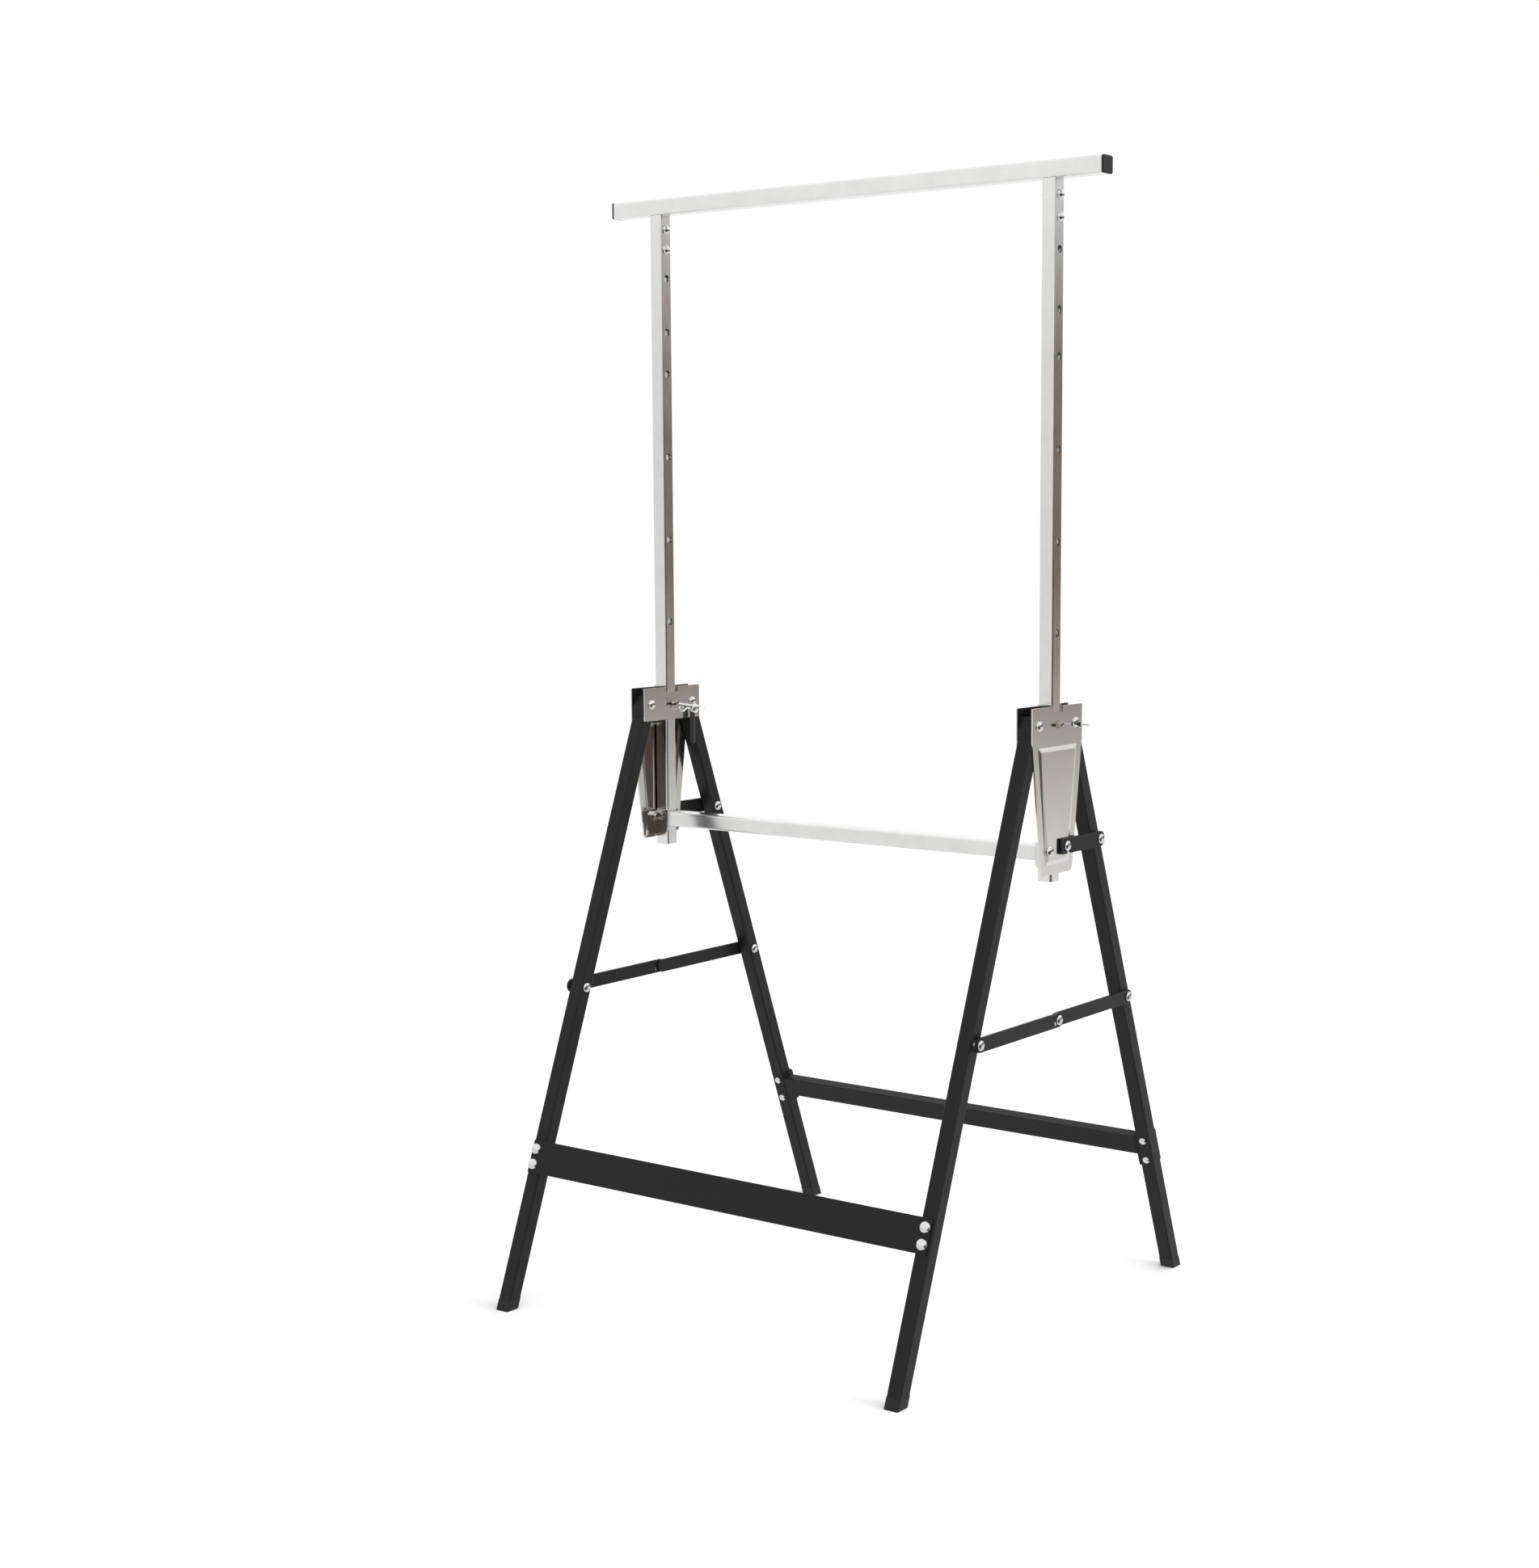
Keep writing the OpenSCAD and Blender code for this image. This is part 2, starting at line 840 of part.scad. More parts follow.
// The pin is drawn without the length inside the mast, so that the mast can slide past it
module lock_pin() {
    color(zinc) {
        difference() {
            translate([pin_in, 0, pin_z])
                along_x()
                    union() {
                        translate([0, 0, 1])
                            cylinder(d = pin_d, h = inner_face_out - pin_in - 1);
                        cylinder(d1 = pin_d - 2, d2 = pin_d, h = 1);
                    }
            translate([clip_x, 0, pin_z])
                rotate([clip_tilt, 0, 0])
                    rotate([90, 0, 0])
                        cylinder(d = clip_wire + 0.2, h = 20, center = true);
        }
        translate([outer_face_in, 0, pin_z])
            along_x() {
                cylinder(d = pin_d, h = pin_out - outer_face_in - 1.5);
                translate([0, 0, pin_out - outer_face_in - 1.5])
                    cylinder(d1 = pin_d, d2 = pin_d - 2.4, h = 1.5);
            }
    }
}

// A hairpin clip: one leg through the pin, the other under it, joined by a bow at the back.
// A thumb wire stands on from the bow
module r_clip() {
    color(zinc)
        translate([clip_x, 0, pin_z])
            rotate([clip_tilt, 0, 0]) {
                for (start_and_z = [[-5.5, 0], [9, -clip_gap]])
                    translate([0, start_and_z[0], start_and_z[1]])
                        rotate([-90, 0, 0])
                            cylinder(d = clip_wire, h = clip_bow_y - start_and_z[0]);
                translate([0, clip_bow_y, -clip_gap / 2])
                    rotate([90, 0, 90])
                        rotate([0, 0, -90])
                            rotate_extrude(angle = 180)
                                translate([clip_gap / 2, 0])
                                    circle(d = clip_wire);
                translate([0, clip_bow_y + clip_gap / 2 + clip_wire / 2 + 0.1, -clip_gap / 2])
                    rotate([-90, 0, 0])
                        cylinder(d = clip_wire, h = clip_tail);
            }
}

strap_y = 32;
strap_w = 7.4;
strap_t = 1.6;
strap_bottom = 639;

// A grey strap that hangs on the clip's lower leg
module pin_strap() {
    hang_z = pin_z - clip_gap / cos(clip_tilt) + strap_y * tan(clip_tilt);
    color(strap_grey)
        translate([clip_x, strap_y + strap_t / 2, 0])
            rotate([90, 0, 0])
                linear_extrude(strap_t)
                    difference() {
                        union() {
                            translate([-strap_w / 2, strap_bottom + strap_w / 2])
                                square([strap_w, hang_z - strap_bottom - strap_w / 2]);
                            translate([0, strap_bottom + strap_w / 2])
                                circle(d = strap_w);
                            translate([0, hang_z])
                                circle(d = strap_w);
                        }
                        translate([0, hang_z])
                            circle(d = clip_wire + 1.4);
                    }
}

// ---------- one line for each node ----------

left() outer_plate();  // outer_plate_left
outer_plate();  // outer_plate_right
left() inner_plate();  // inner_plate_left
inner_plate();  // inner_plate_right
left() mast_guides();  // mast_guides_left
mast_guides();  // mast_guides_right
left() guide_bracket();  // guide_bracket_left
guide_bracket();  // guide_bracket_right
lower_crossbar();
color(zinc) both_ends() bracket_bolt();  // bracket_bolts
color(zinc) both_ends() bracket_nut();  // bracket_nuts
left() hinge_rivets();  // hinge_rivets_left
hinge_rivets();  // hinge_rivets_right
left() stay_stud();  // stay_stud_left
stay_stud();  // stay_stud_right
color(plastic_black) both_ends() tether_stop();  // tether_stops

front() left() front_leg();  // front_leg_left
front() front_leg();  // front_leg_right
front() both_ends() leg_head();  // front_leg_heads
front() left() foot();  // front_foot_left
front() foot();  // front_foot_right
front() kick_plate();
color(zinc) front() both_ends() kick_bolts();  // kick_plate_bolts
color(zinc) front() both_ends() kick_nuts();  // kick_plate_nuts
color(zinc) front() both_ends() brace_end_rivet(front_brace_x + link_t + link_gap);  // front_brace_rivets

left() back_leg();  // back_leg_left
back_leg();  // back_leg_right
both_ends() leg_head();  // back_leg_heads
left() foot();  // back_foot_left
foot();  // back_foot_right
back_rail();
color(paint_black) both_ends() rail_bracket();  // rail_brackets
color(zinc) both_ends() rail_end_bolts();  // rail_bolts
color(zinc) both_ends() rail_end_nuts();  // rail_nuts
color(zinc) both_ends() brace_end_rivet(back_brace_x + link_t + link_gap);  // back_brace_rivets
color(zinc) front() both_ends() spacer(leg_face, brace_y, brace_z, front_brace_x - leg_face - link_gap);  // brace_spacers
color(zinc) both_ends() stay_leg_rivet();  // stay_rivets
color(zinc) both_ends() spacer(leg_face, stay_rivet_y, stay_z, stay_x - leg_face - link_gap);  // stay_spacers

left() front_brace();  // front_brace_left
front_brace();  // front_brace_right
left() back_brace();  // back_brace_left
back_brace();  // back_brace_right
left() brace_centre_rivet();  // brace_centre_rivet_left
brace_centre_rivet();  // brace_centre_rivet_right
left() stay();  // stay_left
stay();  // stay_right

top_bar();
left() bar_cap();  // bar_cap_left
bar_cap();  // bar_cap_right
left() mast();  // mast_left
mast();  // mast_right
color(zinc) both_ends() mast_stub();  // mast_stubs
color(zinc) for (x = [-mast_x, mast_x], z = mast_bolt_zs) mast_bolt(x, z);  // mast_bolts

left() lock_pin();  // lock_pin_left
lock_pin();  // lock_pin_right
left() r_clip();  // r_clip_left
r_clip();  // r_clip_right
left() pin_strap();  // pin_strap_left
pin_strap();  // pin_strap_right
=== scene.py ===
"""Looks of the folding sawhorse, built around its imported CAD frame.

X runs along the top bar, -Y is the kick plate's side, Z is up. Blender's lengths are in metres.
The sizes that shapes are drawn with are in millimetres, and MM turns them into metres. Made
pieces take their places from the CAD solids that they stand in for, and rivets, bolts, nuts,
spacers and pins take their lengths from them too.
"""

import math

import bmesh
import bpy
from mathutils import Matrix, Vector


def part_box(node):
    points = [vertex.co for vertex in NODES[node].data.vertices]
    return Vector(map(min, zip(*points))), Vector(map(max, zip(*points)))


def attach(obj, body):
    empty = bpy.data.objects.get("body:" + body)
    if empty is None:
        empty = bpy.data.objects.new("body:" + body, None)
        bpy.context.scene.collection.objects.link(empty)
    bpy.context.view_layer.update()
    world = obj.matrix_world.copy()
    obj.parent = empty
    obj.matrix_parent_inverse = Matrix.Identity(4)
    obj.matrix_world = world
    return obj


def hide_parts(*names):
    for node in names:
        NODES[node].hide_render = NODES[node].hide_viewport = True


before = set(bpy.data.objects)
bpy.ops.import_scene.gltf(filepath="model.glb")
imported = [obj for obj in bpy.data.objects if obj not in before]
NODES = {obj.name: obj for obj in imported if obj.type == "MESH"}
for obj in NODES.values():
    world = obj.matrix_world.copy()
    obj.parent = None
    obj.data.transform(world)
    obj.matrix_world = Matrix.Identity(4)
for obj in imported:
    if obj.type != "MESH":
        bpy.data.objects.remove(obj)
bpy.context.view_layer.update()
MM = 0.001
X_AXIS = Vector((1, 0, 0))
SIDES = ("left", "right")

# Fastener sizes in millimetres
RIVET_HEAD_R = 5.75
RIVET_HEAD_H = 3.0
RIVET_SHANK_R = 2.97
SCREW_R = 3.0
LOCK_PIN_R = 4.0
NUT_FLATS = 10


# ---------- materials ----------

class Look:
    """One procedural material: a Principled shader, and the nodes that feed it."""

    def __init__(self, name, colour, metallic, roughness, **settings):
        self.material = bpy.data.materials.new(name)
        self.material.use_nodes = True
        self.tree = self.material.node_tree
        self.shader = self.tree.nodes["Principled BSDF"]
        self.colour = (*colour, 1)
        self.shader.inputs["Base Color"].default_value = self.colour
        self.shader.inputs["Metallic"].default_value = metallic
        self.shader.inputs["Roughness"].default_value = roughness
        for key, value in settings.items():
            self.shader.inputs[key.replace("_", " ")].default_value = value
        self.place = self.tree.nodes.new("ShaderNodeTexCoord").outputs["Object"]
        self.height = None

    def node(self, kind, settings=None, **inputs):
        """Adds a node. Each input is a value, or the socket that feeds it."""
        made = self.tree.nodes.new(kind)
        for key, value in (settings or {}).items():
            setattr(made, key, value)
        for key, value in inputs.items():
            socket = made.inputs[key.replace("_", " ")]
            if isinstance(value, bpy.types.NodeSocket):
                self.tree.links.new(value, socket)
            else:
                socket.default_value = value
        return made

    def stretched(self, scale):
        """Texture coordinates with a scale of their own along each axis."""
        mapping = self.node("ShaderNodeMapping", Vector=self.place)
        mapping.inputs["Scale"].default_value = scale
        return mapping.outputs["Vector"]

    def grain(self, scale, detail=3.0, rough=0.5, place=None):
        """Noise from 0 to 1. scale is in waves per metre."""
        made = self.node("ShaderNodeTexNoise", Vector=place or self.place, Scale=scale,
                         Detail=detail, Roughness=rough)
        return made.outputs["Fac"]

    def cells(self, scale):
        """A random value for each crystal-like cell."""
        made = self.node("ShaderNodeTexVoronoi", Vector=self.place, Scale=scale)
        return self.node("ShaderNodeSeparateColor", Color=made.outputs["Color"]).outputs["Red"]

    def spread(self, value, low, high, from_low=0.3, from_high=0.7):
        """Maps a value from one range to another, within its ends."""
        made = self.node("ShaderNodeMapRange", Value=value, From_Min=from_low, From_Max=from_high,
                         To_Min=low, To_Max=high)
        return made.outputs["Result"]

    def maths(self, operation, a, b):
        made = self.node("ShaderNodeMath", {"operation": operation})
        for socket, value in zip(made.inputs, (a, b)):
            if isinstance(value, bpy.types.NodeSocket):
                self.tree.links.new(value, socket)
            else:
                socket.default_value = value
        return made.outputs["Value"]

    def tint(self, factor, other):
        """Blends the colour so far towards another one."""
        made = self.node("ShaderNodeMix", {"data_type": "RGBA"})
        factor_in, a, b = made.inputs[0], made.inputs[6], made.inputs[7]
        self.tree.links.new(factor, factor_in)
        socket = self.shader.inputs["Base Color"]
        if socket.is_linked:
            self.tree.links.new(socket.links[0].from_socket, a)
        else:
            a.default_value = self.colour
        b.default_value = (*other, 1)
        self.tree.links.new(made.outputs[2], socket)

    def roughen(self, value):
        self.tree.links.new(value, self.shader.inputs["Roughness"])

    def bump(self, value, distance):
        """Adds relief of that depth in metres."""
        made = self.node("ShaderNodeBump", Height=value, Distance=distance, Strength=1.0)
        if self.height is not None:
            self.tree.links.new(self.height, made.inputs["Normal"])
        self.height = made.outputs["Normal"]
        self.tree.links.new(self.height, self.shader.inputs["Normal"])


def zinc_tube_look(name, along):
    """Bright zinc-plated tube: drawn streaks along it, faint crystal mottling, a few dull spots."""
    look = Look(name, (0.80, 0.795, 0.79), 1.0, 0.3)
    stretch = [30 if axis == along else 1500 for axis in "xyz"]
    streaks = look.grain(1.0, 2.0, 0.6, look.stretched(stretch))
    mottle = look.grain(38.0, 5.0, 0.62)
    crystals = look.cells(420.0)
    dull = look.grain(9.0, 3.0, 0.5)
    look.tint(look.spread(mottle, 0.0, 0.55), (0.70, 0.695, 0.685))
    look.tint(look.spread(crystals, 0.0, 0.12, 0, 1), (0.9, 0.9, 0.9))
    base = look.spread(dull, 0.15, 0.21)
    streaky = look.spread(streaks, -0.035, 0.045)
    look.roughen(look.maths("ADD", base, streaky))
    look.bump(streaks, 0.002 * MM)
    look.bump(mottle, 0.006 * MM)
    return look.material


def plate_look(name):
    """Zinc-plated pressed sheet: a slightly warm grey with soft clouds and a rolled grain."""
    look = Look(name, (0.74, 0.725, 0.70), 1.0, 0.46)
    clouds = look.grain(24.0, 4.0, 0.6)
    crystals = look.cells(520.0)
    rolled = look.grain(1.0, 2.0, 0.6, look.stretched((1500, 1500, 60)))
    look.tint(look.spread(clouds, 0.0, 0.5), (0.70, 0.685, 0.665))
    look.tint(look.spread(crystals, 0.0, 0.10, 0, 1), (0.85, 0.84, 0.82))
    base = look.spread(clouds, 0.13, 0.18)
    look.roughen(look.maths("ADD", base, look.spread(rolled, -0.01, 0.015)))
    look.bump(rolled, 0.0004 * MM)
    return look.material


def powder_coat_look(name):
    """Black powder coat: a fine orange-peel surface with slight changes of gloss."""
    look = Look(name, (0.0085, 0.0085, 0.0084), 0.0, 0.38, Specular_IOR_Level=0.20)
    peel = look.grain(1700.0, 2.0, 0.5)
    slow = look.grain(14.0, 3.0, 0.5)
    dust = look.grain(300.0, 6.0, 0.7)
    look.tint(look.spread(slow, 0.0, 0.5), (0.012, 0.012, 0.0117))
    look.tint(look.spread(dust, 0.0, 0.08, 0.55, 0.8), (0.06, 0.06, 0.058))
    base = look.spread(slow, 0.38, 0.46)
    look.roughen(look.maths("ADD", base, look.spread(peel, -0.03, 0.03)))
    look.bump(peel, 0.035 * MM)
    look.bump(look.grain(220.0, 3.0, 0.5), 0.03 * MM)
    return look.material


def bright_zinc_look(name, colour=(0.72, 0.72, 0.72), worn=(0.60, 0.595, 0.58)):
    """Plated fasteners, with faint turning marks and handling marks."""
    look = Look(name, colour, 1.0, 0.16)
    marks = look.grain(350.0, 4.0, 0.6)
    stain = look.grain(80.0, 3.0, 0.5)
    look.tint(look.spread(stain, 0.0, 0.4), worn)
    base = look.spread(stain, 0.10, 0.17)
    look.roughen(look.maths("ADD", base, look.spread(marks, -0.02, 0.03)))
    look.bump(marks, 0.004 * MM)
    return look.material


def plastic_look(name, colour=(0.012, 0.012, 0.0125), roughness=0.5):
    """Moulded plastic with a fine spark-eroded texture."""
    look = Look(name, colour, 0.0, roughness, Specular_IOR_Level=0.25)
    texture = look.grain(2600.0, 2.0, 0.5)
    flow = look.grain(60.0, 3.0, 0.5)
    lighter = tuple(c * 1.35 for c in colour)
    look.tint(look.spread(flow, 0.0, 0.6), lighter)
    base = look.spread(flow, roughness - 0.05, roughness + 0.05)
    look.roughen(look.maths("ADD", base, look.spread(texture, -0.04, 0.04)))
    look.bump(texture, 0.03 * MM)
    return look.material


ZINC_UPRIGHT = zinc_tube_look("zinc_tube_upright", "z")
ZINC_ACROSS = zinc_tube_look("zinc_tube_across", "x")
PLATE = plate_look("zinc_plate")
PAINT = powder_coat_look("black_powder_coat")
HARDWARE = bright_zinc_look("bright_zinc")
# A darker copy of the bright zinc for the lock pins and the bolts' threaded ends: partly a duller
# steel, partly painted shade standing in for the dark reflection on the pins
DARK_STEEL_AND_PAINTED_SHADE = bright_zinc_look("pin_steel_and_painted_shade", (0.34, 0.315, 0.29), (0.27, 0.25, 0.23))
PLASTIC = plastic_look("black_plastic")
STRAP = plastic_look("grey_strap", (0.045, 0.045, 0.047), 0.55)
# A brighter copy of the bright zinc for the spring clips: partly bright spring wire, partly painted
# highlight
WIRE_WITH_PAINTED_HIGHLIGHT = bright_zinc_look("wire_with_painted_highlight", (0.92, 0.92, 0.92), (0.84, 0.84, 0.83))


def dress(node, material):
    """Gives a CAD node its material."""
    data = NODES[node].data
    data.materials.clear()
    data.materials.append(material)


def soften(node, width_mm, segments=2, angle=28):
    """Rounds a CAD node's edges a little, as rolling, pressing or moulding leaves them."""
    piece = NODES[node]
    weld = piece.modifiers.new("weld", "WELD")
    weld.merge_threshold = 0.01 * MM
    flat = piece.modifiers.new("flat", "DECIMATE")
    flat.decimate_type = "DISSOLVE"
    flat.angle_limit = math.radians(1)
    bevel = piece.modifiers.new("edges", "BEVEL")
    bevel.width = width_mm * MM
    bevel.segments = segments
    bevel.limit_method = "ANGLE"
    bevel.angle_limit = math.radians(angle)
    bevel.use_clamp_overlap = True
    smooth = piece.modifiers.new("shading", "WEIGHTED_NORMAL")
    smooth.keep_sharp = True


def on_both_sides(*names):
    """The left and right node of each name."""
    return [name + "_" + side for name in names for side in SIDES]


MASTS = on_both_sides("mast")
LEGS = on_both_sides("front_leg", "back_leg")
LINKS = on_both_sides("front_brace", "back_brace", "stay")
OUTER_PLATES = on_both_sides("outer_plate")
INNER_SHEETS = on_both_sides("inner_plate", "guide_bracket", "mast_guides")
PLUGS = on_both_sides("front_foot", "back_foot", "bar_cap")
ACROSS = ["top_bar", "lower_crossbar"]
RAILS = ["kick_plate", "back_rail"]
FOLDED = ["front_leg_heads", "back_leg_heads", "rail_brackets"]
STRAPS = on_both_sides("pin_strap")

for material, names in ((ZINC_UPRIGHT, MASTS + ["mast_stubs"]), (ZINC_ACROSS, ACROSS),
                        (PLATE, OUTER_PLATES + INNER_SHEETS),
                        (PAINT, LEGS + LINKS + FOLDED + RAILS),
                        (PLASTIC, PLUGS), (STRAP, STRAPS)):
    for name in names:
        dress(name, material)

# Millimetres of rounding
for width_mm, names in ((0.8, RAILS), (0.5, LINKS + STRAPS), (0.35, INNER_SHEETS),
                        (0.6, PLUGS), (0.4, FOLDED)):
    for name in names:
        soften(name, width_mm)
for name in OUTER_PLATES:
    # The panel's slopes are gentle, so only a small angle finds their edges
    soften(name, 0.6, segments=3, angle=8)
for name in MASTS + ACROSS + LEGS:
    soften(name, 0.25, angle=50)


# ---------- shapes that stand in for the plain CAD hardware ----------

def leg_lean():
    """The legs' lean, from the outer faces of a foot on the floor and of the head above it."""
    foot_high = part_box("back_foot_right")[1]
    head_low, head_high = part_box("back_leg_heads")
    foot_rim = 0.3 * MM
    return math.atan((foot_high.y - foot_rim - head_high.y) / head_low.z)


LEAN = leg_lean()


def solids(node):
    """The points of each separate solid in a CAD node."""
    data = NODES[node].data
    # Corners that are at the same place, to the micrometre, count as one point
    grid = 1e6
    places = {}
    group = []
    owner = []
    for vertex in data.vertices:
        key = tuple(round(c * grid) for c in vertex.co)
        if key not in places:
            places[key] = len(group)
            group.append(len(group))
        owner.append(places[key])

    def root(i):
        while group[i] != i:
            group[i] = group[group[i]]
            i = group[i]
        return i

    for polygon in data.polygons:
        first = root(owner[polygon.vertices[0]])
        for index in polygon.vertices[1:]:
            group[root(owner[index])] = first
    found = {}
    for vertex, place in zip(data.vertices, owner):
        found.setdefault(root(place), []).append(vertex.co.copy())
    return [found[key] for key in sorted(found)]


def ends(points, axis):
    """The two ends of a turned solid's centre line along axis."""
    across = axis.orthogonal().normalized()
    other = axis.cross(across)
    middle = Vector()
    for direction in (across, other):
        values = [p.dot(direction) for p in points]
        middle += direction * (min(values) + max(values)) / 2
    along = [p.dot(axis) for p in points]
    return middle + axis * min(along), middle + axis * max(along)


class Piece:
    """A mesh under construction, in the CAD frame."""

    def __init__(self, name):
        self.name = name
        self.mesh = bmesh.new()

    def ring(self, centre, axis, radius, steps, across=None):
        """A circle of points around axis; radius in mm. across is where it starts."""
        across = across or axis.orthogonal().normalized()
        other = axis.cross(across)
        turns = [2 * math.pi * i / steps for i in range(steps)]
        return [self.mesh.verts.new(centre + (across * math.cos(turn) + other * math.sin(turn))
                                    * radius * MM) for turn in turns]

    def bridge(self, a, b):
        """Faces between two rings."""
        count = len(a)
        for i in range(count):
            j = (i + 1) % count
            self.mesh.faces.new((a[i], a[j], b[j], b[i]))

    def lathe(self, start, axis, profile, steps=40):
        """Turns a profile of (mm along the axis, mm of radius) from start. Zero radii close it."""
        previous = None
        for along, radius in profile:
            centre = start + axis * along * MM
            if radius == 0:
                tip = self.mesh.verts.new(centre)
                if previous:
                    for i in range(steps):
                        self.mesh.faces.new((previous[i], previous[(i + 1) % steps], tip))
                previous, first_tip = None, tip
                continue
            ring = self.ring(centre, axis, radius, steps)
            if previous:
                self.bridge(previous, ring)
            else:
                for i in range(steps):
                    self.mesh.faces.new((ring[(i + 1) % steps], ring[i], first_tip))
            previous = ring

    def nut(self, start, axis, flats, thick, bore=5.6, steps=72):
        """A hexagon nut with both faces chamfered; start is the middle of its first face."""
        face_r = flats / 2 * 0.96
        bore_r, broken = bore / 2, 0.5
        chamfer = math.tan(math.radians(28))
        turns = [2 * math.pi * i / steps for i in range(steps)]
        hexagon = [flats / 2 / math.cos(turn % (math.pi / 3) - math.pi / 6) for turn in turns]
        drop = [(radius - face_r) * chamfer for radius in hexagon]
        across = axis.orthogonal().normalized()
        other = axis.cross(across)

        def outline(radii, alongs):
            sides = [across * math.cos(turn) + other * math.sin(turn) for turn in turns]
            return [self.mesh.verts.new(start + side * radius * MM + axis * along * MM)
                    for side, radius, along in zip(sides, radii, alongs)]

        def circle(radius, along):
            return outline([radius] * steps, [along] * steps)

        rows = [circle(bore_r, broken), circle(bore_r + broken, 0), circle(face_r, 0),
                outline(hexagon, drop), outline(hexagon, [thick - d for d in drop]),
                circle(face_r, thick), circle(bore_r + broken, thick),
                circle(bore_r, thick - broken)]
        for a, b in zip(rows, rows[1:] + rows[:1]):
            self.bridge(a, b)

    def wire(self, path, radius, steps=14):
        """A round wire through the points of path, radius in mm."""
        normal = (path[1] - path[0]).orthogonal()
        rings = []
        for i, point in enumerate(path):
            before, after = path[max(i - 1, 0)], path[min(i + 1, len(path) - 1)]
            tangent = (after - before).normalized()
            normal = (normal - tangent * normal.dot(tangent)).normalized()
            rings.append(self.ring(point, tangent, radius, steps, normal))
        for a, b in zip(rings, rings[1:]):
            self.bridge(a, b)
        self.mesh.faces.new(list(reversed(rings[0])))
        self.mesh.faces.new(rings[-1])

    def make(self, material, body, slot, *replaced, sharp=35):
        """Puts the finished piece on its body, in place of the CAD nodes it replaces."""
        bmesh.ops.recalc_face_normals(self.mesh, faces=self.mesh.faces)
        data = bpy.data.meshes.new(self.name)
        self.mesh.to_mesh(data)
        self.mesh.free()
        piece = bpy.data.objects.new(self.name, data)
        bpy.context.scene.collection.objects.link(piece)
        data.materials.append(material)
        data.polygons.foreach_set("use_smooth", [True] * len(data.polygons))
        data.set_sharp_from_angle(angle=math.radians(sharp))
        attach(piece, body)
        if replaced:
            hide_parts(*replaced)


# ---------- rivets, bolts, nuts and spacers ----------

def head_profile(radius, height, rim=0.8):
    """A low rounded head from its rim to its tip: (mm above the seat, mm of radius)."""
    seat_in, seat_up = 0.25, 0.2
    shoulder_in, shoulder_down = 0.12, 0.15
    crown = [(rim + (height - rim) * math.sin(turn), (radius - shoulder_in) * math.cos(turn))
             for turn in (math.radians(a) for a in range(0, 90, 10))]
    edge = [(0, radius - seat_in), (seat_up, radius), (rim - shoulder_down, radius)]
    return edge + crown + [(height, 0)]


def rivet_profile(length, radius, head_r, head_h, both=True):
    """A rivet of that whole length: a head at its far end, and at its near end too if both."""
    far = [(length - head_h + a, r) for a, r in head_profile(head_r, head_h)]
    if both:
        near = [(head_h - a, r) for a, r in reversed(head_profile(head_r, head_h))]
        return near + [(head_h, radius), (length - head_h, radius)] + far
    broken = 0.4
    end = [(0, 0), (0, radius - broken), (broken, radius)]
    return end + [(length - head_h, radius)] + far


def threaded(length, radius, pitch=1.0, depth=0.28):
    """The profile of a screw thread that starts with a chamfered end."""
    points = [(0, 0), (0, radius - 0.7), (0.35, radius - 0.45)]
    first = 0.45
    root = radius - depth
    for i in range(int(length / pitch)):
        along = first + i * pitch
        points += [(along + 0.30 * pitch, radius), (along + 0.42 * pitch, radius),
                   (along + 0.80 * pitch, root), (along + 0.90 * pitch, root)]
    return points


def stop_pin_profile(length, radius):
    """A plain pin, domed at its far end."""
    dome_h, broken = 0.9, 0.2
    dome = [(length - dome_h + dome_h * math.sin(turn), radius * math.cos(turn))
            for turn in (math.radians(a) for a in range(0, 90, 15))]
    return [(0, 0), (0, radius - broken), (broken, radius)] + dome + [(length, 0)]


# Straight out of the legs' outer faces
FRONT_OUT = Vector((0, -math.cos(LEAN), math.sin(LEAN)))
BACK_OUT = Vector((0, math.cos(LEAN), math.sin(LEAN)))


def x_rivets(node, body, head_r=RIVET_HEAD_R, head_h=RIVET_HEAD_H, both=True):
    """Rivets along X with their far heads outwards; a solid that is thinner is a stop pin."""
    thinnest_rivet_r = 2.9
    piece = Piece("made_" + node)
    for points in solids(node):
        start, end = ends(points, X_AXIS)
        axis = X_AXIS
        if start.x < 0:
            start, end, axis = end, start, -X_AXIS
        length = (end - start).length / MM
        widest = max((p - start).cross(axis).length for p in points) / MM
        if widest < thinnest_rivet_r:
            piece.lathe(start, axis, stop_pin_profile(length, widest))
        else:
            piece.lathe(start, axis, rivet_profile(length, RIVET_SHANK_R, head_r, head_h, both))
    piece.make(HARDWARE, body, "zinc_hardware", node)


for side in SIDES:
    x_rivets("hinge_rivets_" + side, "head")
    x_rivets("stay_stud_" + side, "head", both=False)
    x_rivets("brace_centre_rivet_" + side, "front_brace_" + side, both=False)
x_rivets("front_brace_rivets", "front_leg_frame")
x_rivets("back_brace_rivets", "back_leg_frame")
x_rivets("stay_rivets", "back_leg_frame")
x_rivets("bracket_bolts", "head", head_r=6.25, head_h=3.6, both=False)


def spacers(node, body):
    """Turned spacers with broken edges."""
    outer, inner, broken = 5.5, 3.05, 0.25
    piece = Piece("made_" + node)
    for points in solids(node):
        start, end = ends(points, X_AXIS)
        thick = (end - start).length / MM
        ring = [(0, inner), (0, outer - broken), (broken, outer), (thick - broken, outer),
                (thick, outer - broken), (thick, inner)]
        rows = [piece.ring(start + X_AXIS * a * MM, X_AXIS, r, steps=40) for a, r in ring]
        for a, b in zip(rows, rows[1:] + rows[:1]):
            piece.bridge(a, b)
    piece.make(HARDWARE, body, "zinc_hardware", node)


spacers("brace_spacers", "front_leg_frame")
spacers("stay_spacers", "back_leg_frame")


